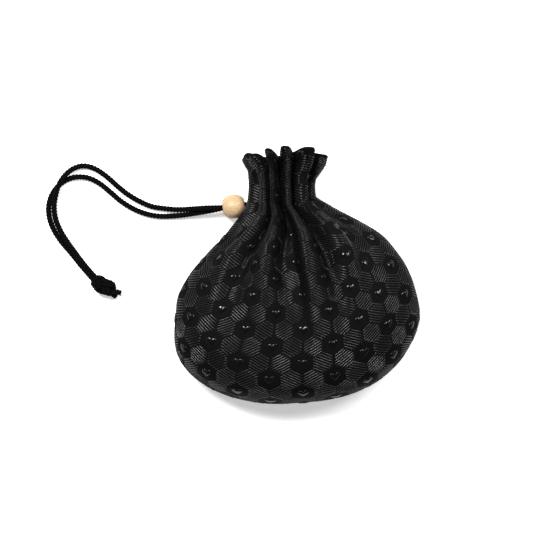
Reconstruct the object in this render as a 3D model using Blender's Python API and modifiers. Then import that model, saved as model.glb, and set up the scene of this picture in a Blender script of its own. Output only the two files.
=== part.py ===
"""Kinchaku drawstring pouch lying on its back, closed, with its doubled cord drawn out to one side.

Metres, +Z up. +X runs towards the right side seam and +Y from the bottom seam to the gathered mouth.
The origin is under the middle of the cloth pouch, on the surface that it lies on.
"""
import math

import bmesh
import bpy
from mathutils import Vector

MM = 0.001

# Cloth
CLOTH_THICKNESS = 0.8 * MM
SEAM_GAP = 0.8 * MM
TABLE_CLEARANCE = CLOTH_THICKNESS
COLUMNS = 44
BODY_ROWS = 15
RUFFLE_ROWS = 7

# Guide curves of the body in millimetres, from the bottom seam's ends up to the drawstring casing
RIGHT_SEAM = [(67.3, -24, 17), (66.8, -17, 17), (65.0, -9, 17.5), (61.3, 0, 18), (55.6, 10, 18),
              (43, 24, 18), (25, 34.5, 17), (9, 39.5, 16)]
LEFT_SEAM = [(-66.6, -31, 17), (-66.1, -22, 17), (-65.4, -12.5, 17), (-61.4, -3.4, 17), (-55.7, 5, 16.5),
             (-43.5, 18.2, 15), (-31.5, 30.5, 13), (-24, 38.5, 12)]
FRONT_CREST = [(-8, -70.6, 15), (-6, -65, 31), (-3, -50, 38.5), (-1, -30, 41), (-2, -8, 40),
               (-4, 13, 37), (-7, 29, 32), (-8.3, 38.5, 28.5)]
BACK_CREST = [(-8, -70.6, 15), (-6, -65, 4), (-3, -52, -1), (-1, -30, -3), (-2, -8, -3),
              (-4, 13, -2), (-7, 29, 1), (-8.3, 38.5, 3.8)]
SECTION_FULLNESS_LEFT = 0.9
SECTION_FULLNESS_RIGHT = 1.06
CASING_KNOT = len(RIGHT_SEAM) - 1
MOUTH_KNOT = CASING_KNOT + 4

# Gathered neck and ruffle, from the casing to the mouth, in millimetres
NECK_START_KNOT = 4.6
NECK_CENTRE_X = [-8.3, -8.5, -8.6, -7.6, -6.4]
NECK_CENTRE_Z = [16.0, 16.0, 16.2, 17.2, 18.6]
NECK_RADIUS_X = [15.3, 15.0, 15.2, 17.2, 20.0]
NECK_RADIUS_Z = [12.5, 12.5, 12.8, 13.8, 14.9]
NECK_HEIGHT = [40.0, 47.0, 54.4, 61.6, 68.2]
FRONT_RISE = [0.0, 0.2, 0.8, 1.9, 3.3]
SEAM_TURN = 0.75
FOLD_DEPTH_CASING = 2.2 * MM
FOLD_DEPTH_MOUTH = 3.2 * MM
FOLD_START_KNOT = 3.4
RIDGES_AND_VALLEYS = [(5, 1), (25, -1), (43, 1), (65, -1), (81, 1), (93, -1), (107, 1), (118, -0.6),
                      (129, 0.7), (152, -1), (183, 1), (206, -0.8), (228, 0.7), (248, -1), (268, 1),
                      (290, -1), (312, 1), (338, -0.9)]

# Drawstring
CORD_DIAMETER = 3.0 * MM
CORD_STEP = 7.5 * MM
CASING_CORD_START = [(-22.3, 40.1, 8.65), (-21.4, 40.05, 8.8), (-20.2, 40.0, 11.4)]
CASING_RING_CENTRE = (-8.3, 40.0, 16.0)
CASING_RING_RADII = (11.2, 8.45)
CASING_RING_ANGLES = range(176, -121, -18)
CASING_CORD_END = [(-18.0, 40.05, 6.1), (-22.4, 40.1, 5.35)]
UPPER_STRAND_ROUTE = [(-23.6, 40.05, 8.65), (-29, 39.35, 8.65), (-35.3, 38.6, 8.65), (-41.5, 37.9, 8.6),
                      (-46.2, 37.75, 8.5), (-51.2, 37.7, 8.0), (-58.7, 37.2, 5.6), (-66.9, 36.9, 2.9),
                      (-75.1, 37.7, 1.6), (-81.6, 38.9, 1.55), (-88.1, 41.8, 1.55), (-94.6, 45.8, 1.55),
                      (-100.3, 50.3, 1.55), (-106, 55.2, 1.55), (-111.8, 59.1, 1.55), (-116.6, 60.8, 1.55),
                      (-120.9, 60.9, 1.7), (-125, 59.2, 2.8), (-129, 55.6, 4.4), (-132.3, 50.8, 5.0),
                      (-134.3, 45, 4.9), (-135.3, 38.6, 4.7), (-134.6, 32, 4.7), (-132.4, 26.2, 4.7),
                      (-129.5, 20.9, 4.7), (-125.2, 14.4, 4.7), (-120.5, 7.9, 4.7), (-116.3, 2.9, 4.75), (-113.7, -0.1, 4.75)]
LOWER_STRAND_ROUTE = [(-23.6, 40.05, 5.35), (-29, 39.35, 5.35), (-35.3, 38.6, 5.35), (-41.5, 37.7, 5.35),
                      (-46.2, 36.6, 5.4), (-51.2, 35.5, 5.35), (-58.7, 33.9, 3.7), (-65.3, 32.9, 2.1),
                      (-72.6, 32.7, 1.55), (-79.1, 33.3, 1.55), (-85.6, 34.9, 1.55), (-92.2, 37.8, 1.55),
                      (-98.7, 42.1, 1.55), (-104.4, 46.9, 1.55), (-110.1, 51.4, 1.55), (-115.8, 54.1, 1.55),
                      (-121.5, 54.8, 1.55), (-126.9, 53.6, 1.55), (-131.4, 50.4, 1.55), (-134.9, 45.6, 1.55),
                      (-136.6, 39.4, 1.55), (-136.4, 32.6, 1.55), (-134.2, 25.8, 1.55), (-130.7, 19.4, 1.55),
                      (-126.1, 12.8, 1.55), (-121.2, 6.3, 1.55), (-117.0, 1.4, 1.55), (-113.9, -2.0, 1.6)]
SEAM_OPENING_CENTRE = (-24.0 * MM, 39.9 * MM, 8.0 * MM)
SEAM_OPENING_RADIUS = 5.4 * MM
SEAM_OPENING_LENGTH = 24.0 * MM

# Casing tape sewn inside the neck
TAPE_CENTRE = (-8.3 * MM, 16.0 * MM)
TAPE_RADII = (8.4 * MM, 5.7 * MM)
TAPE_Y = (35.0 * MM, 45.0 * MM)
TAPE_SEGMENTS = 32

# Bead
BEAD_CENTRE = (-35.3 * MM, 38.6 * MM, 7.0 * MM)
BEAD_AXIS = (-0.9929, -0.1192, 0.0)
BEAD_LENGTH = 12.2 * MM
BEAD_RADIUS = 6.8 * MM
BEAD_BORE_RADIUS = 3.45 * MM
BEAD_ROUNDING = 2.8
BEAD_PROFILE_POINTS = 16
BEAD_STEPS = 28

# Knot
KNOT_CENTRE = (-107.9 * MM, -5.8 * MM, 4.3 * MM)
KNOT_RADII = (7.1 * MM, 4.6 * MM, 4.25 * MM)
KNOT_TURN = math.radians(-22)
KNOT_TAIL_ENDS = [(-101.6, -11.6, 1.8), (-98.6, -9.8, 3.4)]
KNOT_TAIL_ROOT = (-106.0, -7.0, 3.6)


def clear_scene():
    """Start from an empty scene."""
    for item in list(bpy.data.objects):
        bpy.data.objects.remove(item)


def make_collection(name):
    """Return a new collection linked to the scene."""
    collection = bpy.data.collections.new(name)
    bpy.context.scene.collection.children.link(collection)
    return collection


def make_material(name, colour, roughness):
    """Return a Principled material."""
    material = bpy.data.materials.new(name)
    material.use_nodes = True
    shader = material.node_tree.nodes["Principled BSDF"]
    shader.inputs["Base Color"].default_value = (*colour, 1.0)
    shader.inputs["Roughness"].default_value = roughness
    shader.inputs["Metallic"].default_value = 0.0
    return material


def make_object(name, mesh, collection, material):
    """Link a mesh object that wears one material."""
    item = bpy.data.objects.new(name, mesh)
    mesh.materials.append(material)
    collection.objects.link(item)
    return item


def smooth_step(low, high, value):
    """Ease from 0 at low to 1 at high."""
    ratio = min(max((value - low) / (high - low), 0.0), 1.0)
    return ratio * ratio * (3.0 - 2.0 * ratio)


def on_curve(points, knot):
    """Read a Catmull-Rom curve through points at a fractional point number."""
    last = len(points) - 1
    index = min(int(knot), last - 1)
    part = knot - index
    rows = [points[min(max(index + step, 0), last)] for step in (-1, 0, 1, 2)]
    rows = [Vector(row) if isinstance(row, tuple) else Vector((row, 0, 0)) for row in rows]
    if index == 0:
        rows[0] = 2 * rows[1] - rows[2]
    if index == last - 1:
        rows[3] = 2 * rows[2] - rows[1]
    before, start, end, after = rows
    slope_in = (end - before) / 2
    slope_out = (after - start) / 2
    cube = part ** 3
    square = part ** 2
    return ((2 * cube - 3 * square + 1) * start + (cube - 2 * square + part) * slope_in
            + (3 * square - 2 * cube) * end + (cube - square) * slope_out)


def fold_height(angle):
    """Return the gathered cloth's rise, 1 on a ridge and -1 in a valley, at an angle in radians."""
    degrees = math.degrees(angle) % 360
    knots = RIDGES_AND_VALLEYS
    closed = [(knots[-1][0] - 360, knots[-1][1])] + knots + [(knots[0][0] + 360, knots[0][1])]
    for (first, rise), (second, next_rise) in zip(closed, closed[1:]):
        if first <= degrees <= second:
            ratio = (degrees - first) / (second - first)
            return rise + (next_rise - rise) * (1 - math.cos(math.pi * ratio)) / 2
    return 0.0


def body_point(angle, knot):
    """Return a point of the filled body, whose sections are two half ellipses on the seams' chord."""
    right = on_curve(RIGHT_SEAM, knot)
    left = on_curve(LEFT_SEAM, knot)
    crest = on_curve(FRONT_CREST if angle <= math.pi else BACK_CREST, knot)
    turn = math.cos(angle)
    fullness = SECTION_FULLNESS_RIGHT if turn > 0 else SECTION_FULLNESS_LEFT
    across = (1 + math.copysign(abs(turn) ** fullness, turn)) / 2
    chord = left.lerp(right, across)
    bulge = crest - left.lerp(right, 0.5)
    return (chord + bulge * abs(math.sin(angle))) * MM


def neck_point(angle, knot):
    """Return a point of the unfolded neck, an ellipse whose left seam is turned down to the table."""
    place = max(knot - CASING_KNOT, 0.0)
    turn = angle + SEAM_TURN * math.sin(angle / 2) ** 2
    centre_x, centre_z, radius_x, radius_z, height, rise = (
        on_curve(values, place).x
        for values in (NECK_CENTRE_X, NECK_CENTRE_Z, NECK_RADIUS_X, NECK_RADIUS_Z, NECK_HEIGHT, FRONT_RISE))
    drop = max(CASING_KNOT - knot, 0.0) * 5.0
    return Vector((centre_x + radius_x * math.cos(turn),
                   height - drop + rise * math.sin(turn),
                   centre_z + radius_z * math.sin(turn))) * MM


def cloth_point(angle, knot):
    """Return a point of the cloth: the body, the neck or their blend, with the gathers added."""
    neck_share = smooth_step(NECK_START_KNOT, CASING_KNOT, knot)
    place = neck_point(angle, knot)
    if neck_share < 1.0:
        place = body_point(angle, knot).lerp(place, neck_share)
    turn = angle + SEAM_TURN * neck_share * math.sin(angle / 2) ** 2
    depth = FOLD_DEPTH_CASING * smooth_step(FOLD_START_KNOT, CASING_KNOT, knot)
    depth += (FOLD_DEPTH_MOUTH - FOLD_DEPTH_CASING) * smooth_step(CASING_KNOT + 1, MOUTH_KNOT, knot)
    outward = Vector((math.cos(turn), 0.0, math.sin(turn)))
    return place + outward * depth * fold_height(turn)


def row_knots():
    """Return the rows' places along the guide curves, closer together where the bottom turns under."""
    body = [CASING_KNOT * (row / BODY_ROWS) ** 1.25 for row in range(BODY_ROWS)]
    ruffle = [CASING_KNOT + (MOUTH_KNOT - CASING_KNOT) * row / RUFFLE_ROWS for row in range(RUFFLE_ROWS + 1)]
    return body + ruffle


def make_panel(name, start_angle, lift, collection, material):
    """Make one cloth panel between the two side seams, thickened outwards."""
    mesh = bpy.data.meshes.new(name)
    bm = bmesh.new()
    grid = []
    for knot in row_knots():
        line = []
        for column in range(COLUMNS + 1):
            place = cloth_point(start_angle + math.pi * column / COLUMNS, knot)
            place.z = max(place.z + lift, TABLE_CLEARANCE)
            line.append(bm.verts.new(place))
        grid.append(line)
    for lower, upper in zip(grid, grid[1:]):
        for column in range(COLUMNS):
            bm.faces.new((lower[column], upper[column], upper[column + 1], lower[column + 1]))
    bmesh.ops.recalc_face_normals(bm, faces=bm.faces)
    middle = bm.faces[len(bm.faces) // 2]
    outward_z = 1 if start_angle == 0 else -1
    if middle.normal.z * outward_z < 0:
        bmesh.ops.reverse_faces(bm, faces=bm.faces)
    bm.to_mesh(mesh)
    bm.free()
    panel = make_object(name, mesh, collection, material)
    wall = panel.modifiers.new("cloth thickness", "SOLIDIFY")
    wall.thickness = CLOTH_THICKNESS
    wall.offset = 1.0
    return panel


def make_seam_opening(collection):
    """Make the cutter for the gap in the left seam that the cord comes out of."""
    bpy.ops.mesh.primitive_cylinder_add(vertices=24, radius=SEAM_OPENING_RADIUS, depth=SEAM_OPENING_LENGTH,
                                        location=SEAM_OPENING_CENTRE, rotation=(0, math.pi / 2, 0))
    cutter = bpy.context.active_object
    cutter.name = "seam_opening"
    for owner in list(cutter.users_collection):
        owner.objects.unlink(cutter)
    collection.objects.link(cutter)
    cutter.hide_render = True
    cutter.display_type = "WIRE"
    return cutter


def cut(item, cutter):
    """Cut an object with a cutter."""
    boolean = item.modifiers.new("opening", "BOOLEAN")
    boolean.operation = "DIFFERENCE"
    boolean.solver = "EXACT"
    boolean.object = cutter


def make_casing_tape(collection, material):
    """Make the tape that holds the cord against the inside of the neck."""
    mesh = bpy.data.meshes.new("casing_tape")
    bm = bmesh.new()
    rings = []
    for height in TAPE_Y:
        ring = []
        for segment in range(TAPE_SEGMENTS):
            angle = 2 * math.pi * segment / TAPE_SEGMENTS
            ring.append(bm.verts.new((TAPE_CENTRE[0] + TAPE_RADII[0] * math.cos(angle), height,
                                      TAPE_CENTRE[1] + TAPE_RADII[1] * math.sin(angle))))
        rings.append(ring)
    for segment in range(TAPE_SEGMENTS):
        after = (segment + 1) % TAPE_SEGMENTS
        bm.faces.new((rings[0][segment], rings[1][segment], rings[1][after], rings[0][after]))
    bm.to_mesh(mesh)
    bm.free()
    tape = make_object("casing_tape", mesh, collection, material)
    wall = tape.modifiers.new("tape thickness", "SOLIDIFY")
    wall.thickness = CLOTH_THICKNESS
    wall.offset = 1.0
    return tape


def route_points(route, step):
    """Read evenly spaced points, about a step apart, from the smooth curve through a route in millimetres."""
    fine = [on_curve(route, knot / 16) * MM for knot in range((len(route) - 1) * 16 + 1)]
    travelled = [0.0]
    for before, after in zip(fine, fine[1:]):
        travelled.append(travelled[-1] + (after - before).length)
    count = max(round(travelled[-1] / step), 4)
    points = []
    index = 0
    for number in range(count + 1):
        target = travelled[-1] * number / count
        while index < len(fine) - 2 and travelled[index + 1] < target:
            index += 1
        ratio = (target - travelled[index]) / (travelled[index + 1] - travelled[index])
        points.append(fine[index].lerp(fine[index + 1], ratio))
    return points


def casing_cord_route():
    """Return the cord's way in through the left seam, round the neck inside the casing and out again."""
    centre_x, height, centre_z = CASING_RING_CENTRE
    ring = [(centre_x + CASING_RING_RADII[0] * math.cos(math.radians(angle)), height,
             centre_z + CASING_RING_RADII[1] * math.sin(math.radians(angle))) for angle in CASING_RING_ANGLES]
    return CASING_CORD_START + ring + CASING_CORD_END


def make_cord(name, route, step, collection, material):
    """Make a round cord along a route."""
    curve = bpy.data.curves.new(name, "CURVE")
    curve.dimensions = "3D"
    curve.bevel_depth = CORD_DIAMETER / 2
    curve.bevel_resolution = 2
    curve.use_fill_caps = True
    points = route_points(route, step)
    spline = curve.splines.new("POLY")
    spline.points.add(len(points) - 1)
    for target, place in zip(spline.points, points):
        target.co = (*place, 1.0)
    curve.materials.append(material)
    cord = bpy.data.objects.new(name, curve)
    collection.objects.link(cord)
    return cord


def make_bead(collection, material):
    """Make the turned wooden bead, bored along the drawn-out cord."""
    mesh = bpy.data.meshes.new("bead")
    bm = bmesh.new()
    wall = BEAD_RADIUS - BEAD_BORE_RADIUS
    profile = []
    for number in range(BEAD_PROFILE_POINTS + 1):
        angle = math.pi / 2 - math.pi * number / BEAD_PROFILE_POINTS
        across = math.cos(angle)
        along = math.sin(angle)
        size = (abs(across) ** BEAD_ROUNDING + abs(along) ** BEAD_ROUNDING) ** (1 / BEAD_ROUNDING)
        profile.append((BEAD_BORE_RADIUS + wall * across / size, BEAD_LENGTH / 2 * along / size))
    verts = [bm.verts.new((radius, 0.0, height)) for radius, height in profile]
    for first, second in zip(verts, verts[1:] + verts[:1]):
        bm.edges.new((first, second))
    bm.to_mesh(mesh)
    bm.free()
    bead = make_object("bead", mesh, collection, material)
    turn = bead.modifiers.new("turned", "SCREW")
    turn.steps = BEAD_STEPS
    turn.render_steps = BEAD_STEPS
    turn.use_merge_vertices = True
    turn.merge_threshold = 0.00001
    bead.location = BEAD_CENTRE
    bead.rotation_mode = "QUATERNION"
    bead.rotation_quaternion = Vector(BEAD_AXIS).to_track_quat("Z", "Y")
    return bead


def make_knot(collection, material):
    """Make the knot as one lump with the two cord ends that come out of it."""
    bpy.ops.mesh.primitive_ico_sphere_add(subdivisions=3, radius=1.0)
    knot = bpy.context.active_object
    knot.name = "cord_knot"
    knot.data.materials.append(material)
    for owner in list(knot.users_collection):
        owner.objects.unlink(knot)
    collection.objects.link(knot)
    for vertex in knot.data.vertices:
        vertex.co = Vector((vertex.co.x * KNOT_RADII[0], vertex.co.y * KNOT_RADII[1], vertex.co.z * KNOT_RADII[2]))
    knot.location = KNOT_CENTRE
    knot.rotation_euler = (0.0, 0.0, KNOT_TURN)
    return knot


def join_tail(knot, end, number, collection):
    """Join one cord end to the knot."""
    root = Vector(KNOT_TAIL_ROOT) * MM
    reach = Vector(end) * MM - root
    bpy.ops.mesh.primitive_cylinder_add(vertices=12, radius=CORD_DIAMETER / 2, depth=reach.length,
                                        location=root + reach / 2,
                                        rotation=reach.to_track_quat("Z", "Y").to_euler())
    tail = bpy.context.active_object
    tail.name = f"knot_tail_{number}"
    for owner in list(tail.users_collection):
        owner.objects.unlink(tail)
    collection.objects.link(tail)
    tail.hide_render = True
    tail.display_type = "WIRE"
    boolean = knot.modifiers.new(f"tail {number}", "BOOLEAN")
    boolean.operation = "UNION"
    boolean.solver = "EXACT"
    boolean.object = tail


def main():
    """Build every sub-part of the pouch."""
    clear_scene()
    parts = make_collection("kinchaku_pouch")
    cutters = make_collection("cutters")
    front_cloth = make_material("front cloth", (0.014, 0.013, 0.015), 0.6)
    back_cloth = make_material("back cloth", (0.014, 0.013, 0.015), 0.6)
    tape_cloth = make_material("casing tape", (0.02, 0.02, 0.022), 0.8)
    cord_yarn = make_material("braided cord", (0.012, 0.012, 0.013), 0.7)
    wood = make_material("bead wood", (0.73, 0.51, 0.29), 0.45)
    opening = make_seam_opening(cutters)
    front = make_panel("front_panel", 0.0, SEAM_GAP / 2, parts, front_cloth)
    back = make_panel("back_panel", math.pi, -SEAM_GAP / 2, parts, back_cloth)
    for panel in (front, back):
        cut(panel, opening)
    make_casing_tape(parts, tape_cloth)
    make_cord("cord_in_casing", casing_cord_route(), CORD_STEP / 2, parts, cord_yarn)
    make_cord("cord_strand_upper", UPPER_STRAND_ROUTE, CORD_STEP, parts, cord_yarn)
    make_cord("cord_strand_lower", LOWER_STRAND_ROUTE, CORD_STEP, parts, cord_yarn)
    make_bead(parts, wood)
    knot = make_knot(parts, cord_yarn)
    for number, end in enumerate(KNOT_TAIL_ENDS, start=1):
        join_tail(knot, end, number, cutters)


main()
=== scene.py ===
"""Dress the kinchaku drawstring pouch: gathered cloth, raised pattern, braided cord and turned bead."""
from __future__ import annotations

import logging
import math
from dataclasses import dataclass
from enum import Enum

import bmesh
import bpy
import numpy as np
from bpy.types import ID, Material, Mesh, Node, NodeSocket, NodeTree, Object
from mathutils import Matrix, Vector


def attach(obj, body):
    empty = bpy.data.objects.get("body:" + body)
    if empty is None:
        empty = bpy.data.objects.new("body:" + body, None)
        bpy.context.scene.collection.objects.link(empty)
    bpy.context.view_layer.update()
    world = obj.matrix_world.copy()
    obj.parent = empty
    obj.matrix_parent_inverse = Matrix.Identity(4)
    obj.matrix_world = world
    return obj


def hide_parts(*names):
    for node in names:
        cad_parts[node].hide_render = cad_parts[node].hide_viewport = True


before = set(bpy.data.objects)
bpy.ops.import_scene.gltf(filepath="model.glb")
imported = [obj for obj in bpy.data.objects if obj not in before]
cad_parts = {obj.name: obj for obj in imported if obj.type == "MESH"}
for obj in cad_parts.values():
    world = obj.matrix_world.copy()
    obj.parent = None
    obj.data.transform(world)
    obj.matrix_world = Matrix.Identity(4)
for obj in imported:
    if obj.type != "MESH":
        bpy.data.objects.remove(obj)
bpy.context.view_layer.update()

MM = 0.001
LOG = logging.getLogger("pouch")
BODY = "pouch"
BEAD_BODY = "bead"


class Side(Enum):
    """The two cloth panels, by the angle at which each starts round the pouch."""

    FRONT = 0.0
    BACK = math.pi


class Cell(Enum):
    """What fills one hexagon of the raised pattern."""

    HEART = 0
    FALLING_LINES = 1
    RISING_LINES = 2


# ---------------------------------------------------------------- shared helpers


def smooth_step(low: float, high: float, value: np.ndarray | float) -> np.ndarray:
    """Ease from 0 at low to 1 at high.

    Args:
        low: Where the ease starts.
        high: Where it ends.
        value: Places to read.

    Returns:
        The eased values.
    """
    ratio = np.clip((np.asarray(value, dtype=float) - low) / (high - low), 0.0, 1.0)
    return ratio * ratio * (3.0 - 2.0 * ratio)


def on_curve(points: list, knots: np.ndarray) -> np.ndarray:
    """Read a Catmull-Rom curve through points.

    Args:
        points: The curve's points, or its plain values.
        knots: Fractional point numbers.

    Returns:
        One row for each knot.
    """
    table = np.array(points, dtype=float)
    if table.ndim == 1:
        table = table[:, None]
    table = np.vstack([2 * table[0] - table[1], table, 2 * table[-1] - table[-2]])
    last = len(table) - 4
    index = np.clip(np.floor(knots).astype(int), 0, last)
    part = (np.asarray(knots) - index)[:, None]
    before, start, end, after = (table[index + step] for step in range(4))
    slope_in = (end - before) / 2
    slope_out = (after - start) / 2
    return ((2 * part**3 - 3 * part**2 + 1) * start + (part**3 - 2 * part**2 + part) * slope_in
            + (3 * part**2 - 2 * part**3) * end + (part**3 - part**2) * slope_out)


def spaced(points: np.ndarray, step: float) -> np.ndarray:
    """Read evenly spaced points along a fine polyline.

    Args:
        points: The polyline.
        step: The wanted spacing.

    Returns:
        Points about a step apart, both ends included.
    """
    travelled = np.concatenate([[0.0], np.cumsum(np.linalg.norm(np.diff(points, axis=0), axis=1))])
    count = max(int(round(travelled[-1] / step)), 2)
    wanted = np.linspace(0.0, travelled[-1], count + 1)
    return np.stack([np.interp(wanted, travelled, points[:, axis]) for axis in range(3)], axis=1)


def path_length(points: np.ndarray) -> float:
    """Return a polyline's length."""
    return float(np.linalg.norm(np.diff(points, axis=0), axis=1).sum())


def unit(vectors: np.ndarray) -> np.ndarray:
    """Return vectors scaled to length 1."""
    return vectors / np.maximum(np.linalg.norm(vectors, axis=-1, keepdims=True), 1e-12)


def link(name: str, data: ID, *materials: Material) -> Object:
    """Put a mesh, a curve, a lamp or a camera in the scene as an object at the origin.

    Args:
        name: The object's name.
        data: What it holds.
        *materials: The materials that it wears, in slot order.

    Returns:
        The object.
    """
    item = bpy.data.objects.new(name, data)
    for material in materials:
        data.materials.append(material)
    bpy.context.scene.collection.objects.link(item)
    return item


def link_bmesh(name: str, bm: bmesh.types.BMesh) -> Object:
    """Put a bmesh in the scene as an object, and free it.

    Args:
        name: The object's name.
        bm: The bmesh.

    Returns:
        The object.
    """
    mesh = bpy.data.meshes.new(name)
    bm.to_mesh(mesh)
    bm.free()
    return link(name, mesh)


def quads(number: np.ndarray) -> np.ndarray:
    """Return the four-cornered faces between the rows and columns of a grid of point numbers."""
    corners = [number[:-1, :-1], number[:-1, 1:], number[1:, 1:], number[1:, :-1]]
    return np.stack(corners, axis=-1).reshape(-1, 4)


def mesh_from(name: str, places: np.ndarray, faces: list) -> Mesh:
    """Make a smooth-shaded mesh from places and faces.

    Args:
        name: The mesh's name.
        places: Its points.
        faces: Its faces, as point numbers.

    Returns:
        The mesh.
    """
    mesh = bpy.data.meshes.new(name)
    mesh.from_pydata(places.tolist(), [], faces)
    mesh.shade_smooth()
    mesh.update()
    return mesh


def face_outwards(mesh: Mesh) -> None:
    """Turn a closed mesh's faces outwards and shade them smooth.

    Args:
        mesh: The mesh, changed in place.
    """
    bm = bmesh.new()
    bm.from_mesh(mesh)
    bmesh.ops.recalc_face_normals(bm, faces=bm.faces)
    bm.to_mesh(mesh)
    bm.free()
    mesh.shade_smooth()


def discard(*items: Object) -> None:
    """Remove helper objects from the file."""
    for item in items:
        bpy.data.objects.remove(item)


# ---------------------------------------------------------------- node helpers


def set_node(tree: NodeTree, node: Node, **values: object) -> Node:
    """Set a node's properties and inputs.

    Args:
        tree: The node's tree.
        node: The node.
        **values: Properties and inputs by name, with underscores for spaces; a socket is linked.

    Returns:
        The node.
    """
    for key, value in values.items():
        label = key.replace("_", " ")
        if isinstance(value, NodeSocket):
            tree.links.new(value, node.inputs[label])
        elif hasattr(node, key):
            setattr(node, key, value)
        else:
            node.inputs[label].default_value = value
    return node


def new_node(tree: NodeTree, kind: str, **values: object) -> Node:
    """Add a node of a Blender type, with its properties and inputs as in set_node."""
    return set_node(tree, tree.nodes.new(kind), **values)


def calculate(tree: NodeTree, kind: str, operation: str, *terms: object) -> NodeSocket:
    """Add a node that calculates.

    Args:
        tree: The tree that takes the node.
        kind: The node's Blender type.
        operation: Its operation.
        *terms: Sockets or plain values, in the order of its inputs; for a scale, the factor last.

    Returns:
        The node's result.
    """
    node = new_node(tree, kind, operation=operation)
    places = [node.inputs[0], node.inputs["Scale"]] if operation == "SCALE" else node.inputs
    for socket, term in zip(places, terms):
        if isinstance(term, NodeSocket):
            tree.links.new(term, socket)
        else:
            socket.default_value = term
    return node.outputs[0]


def maths(tree: NodeTree, operation: str, *terms: object) -> NodeSocket:
    """Add a Math node and return its result."""
    return calculate(tree, "ShaderNodeMath", operation, *terms)


def vector_maths(tree: NodeTree, operation: str, *terms: object) -> NodeSocket:
    """Add a Vector Math node and return its vector."""
    return calculate(tree, "ShaderNodeVectorMath", operation, *terms)


def read_attribute(tree: NodeTree, name: str, kind: str = "FLOAT_VECTOR") -> NodeSocket:
    """Add a node that reads a named attribute, and return its value."""
    return new_node(tree, "GeometryNodeInputNamedAttribute", data_type=kind, Name=name).outputs["Attribute"]


def store_attribute(tree: NodeTree, geometry: NodeSocket, name: str,
                    value: NodeSocket, kind: str = "FLOAT_VECTOR") -> NodeSocket:
    """Add a node that stores a value on every point.

    Args:
        tree: The tree that takes the node.
        geometry: The geometry.
        name: The attribute's name.
        value: Its value.
        kind: Its data type.

    Returns:
        The geometry with the attribute.
    """
    node = new_node(tree, "GeometryNodeStoreNamedAttribute", data_type=kind, domain="POINT", Name=name,
                    Geometry=geometry, Value=value)
    return node.outputs["Geometry"]


def is_kind(tree: NodeTree, cell: Cell) -> NodeSocket:
    """Add nodes that tell whether a point's cell_kind is this one.

    Args:
        tree: The tree that takes the nodes.
        cell: The kind.

    Returns:
        The answer's socket.
    """
    node = new_node(tree, "FunctionNodeCompare", data_type="INT", operation="EQUAL")
    tree.links.new(read_attribute(tree, "cell_kind", "INT"), node.inputs[2])
    node.inputs[3].default_value = cell.value
    return node.outputs["Result"]


def realise(tree: NodeTree, parts: list[NodeSocket]) -> NodeSocket:
    """Add nodes that join parts and make their instances real.

    Args:
        tree: The tree that takes the nodes.
        parts: The geometries.

    Returns:
        The joined geometry.
    """
    together = tree.nodes.new("GeometryNodeJoinGeometry")
    for part in parts:
        tree.links.new(part, together.inputs[0])
    return new_node(tree, "GeometryNodeRealizeInstances", Geometry=together.outputs[0]).outputs[0]


def dress(tree: NodeTree, geometry: NodeSocket, material: NodeSocket,
          chosen: NodeSocket | None = None) -> NodeSocket:
    """Add a Set Material node.

    Args:
        tree: The tree that takes the node.
        geometry: The geometry.
        material: The material.
        chosen: Which of it takes the material; None for all.

    Returns:
        The dressed geometry.
    """
    node = new_node(tree, "GeometryNodeSetMaterial", Geometry=geometry, Material=material)
    if chosen is not None:
        tree.links.new(chosen, node.inputs["Selection"])
    return node.outputs["Geometry"]


def two_tone(tree: NodeTree, value: NodeSocket, dark: tuple, light: tuple,
             spread: float) -> NodeSocket:
    """Add a ramp between two colours.

    Args:
        tree: The tree that takes the node.
        value: What the ramp reads, from 0 to 1.
        dark: The colour below the middle.
        light: The colour above it.
        spread: How far below and above 0.5 the ramp starts and ends.

    Returns:
        The colour.
    """
    node = new_node(tree, "ShaderNodeValToRGB", Fac=value)
    for element, side, colour in zip(node.color_ramp.elements, (-1, 1), (dark, light)):
        element.position = 0.5 + side * spread
        element.color = (*colour, 1.0)
    return node.outputs["Color"]


def new_geometry_tree(name: str, inputs: dict[str, str]) -> tuple:
    """Start a Geometry Nodes tree.

    Args:
        name: The tree's name.
        inputs: Socket types by input name, after the geometry.

    Returns:
        The tree, its input node, its output node and the inputs' identifiers by name.
    """
    tree = bpy.data.node_groups.new(name, "GeometryNodeTree")
    tree.interface.new_socket("Geometry", in_out="INPUT", socket_type="NodeSocketGeometry")
    identifiers = {}
    for label, kind in inputs.items():
        socket = tree.interface.new_socket(label, in_out="INPUT", socket_type=kind)
        identifiers[label] = socket.identifier
    tree.interface.new_socket("Geometry", in_out="OUTPUT", socket_type="NodeSocketGeometry")
    return tree, tree.nodes.new("NodeGroupInput"), tree.nodes.new("NodeGroupOutput"), identifiers


def grow(item: Object, tree: NodeTree, identifiers: dict[str, str],
         values: dict[str, object], name: str) -> Object:
    """Run a Geometry Nodes tree on an object and keep the result as a plain mesh.

    Args:
        item: The helper object that the tree starts from.
        tree: The tree.
        identifiers: Input identifiers by name.
        values: Input values by name.
        name: The new piece's name.

    Returns:
        The new piece; the helper object is removed.
    """
    modifier = item.modifiers.new(tree.name, "NODES")
    modifier.node_group = tree
    for label, value in values.items():
        modifier[identifiers[label]] = value
    bpy.context.view_layer.update()
    depsgraph = bpy.context.evaluated_depsgraph_get()
    mesh = bpy.data.meshes.new_from_object(item.evaluated_get(depsgraph), depsgraph=depsgraph)
    mesh.shade_smooth()
    item.modifiers.remove(modifier)
    piece = link(name, mesh)
    discard(item)
    return piece


def new_material(name: str) -> tuple[Material, NodeTree, Node]:
    """Start a material.

    Args:
        name: The material's name.

    Returns:
        The material, its tree and its Principled shader.
    """
    made = bpy.data.materials.new(name)
    made.use_nodes = True
    return made, made.node_tree, made.node_tree.nodes["Principled BSDF"]


# ---------------------------------------------------------------- finishes


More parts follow.
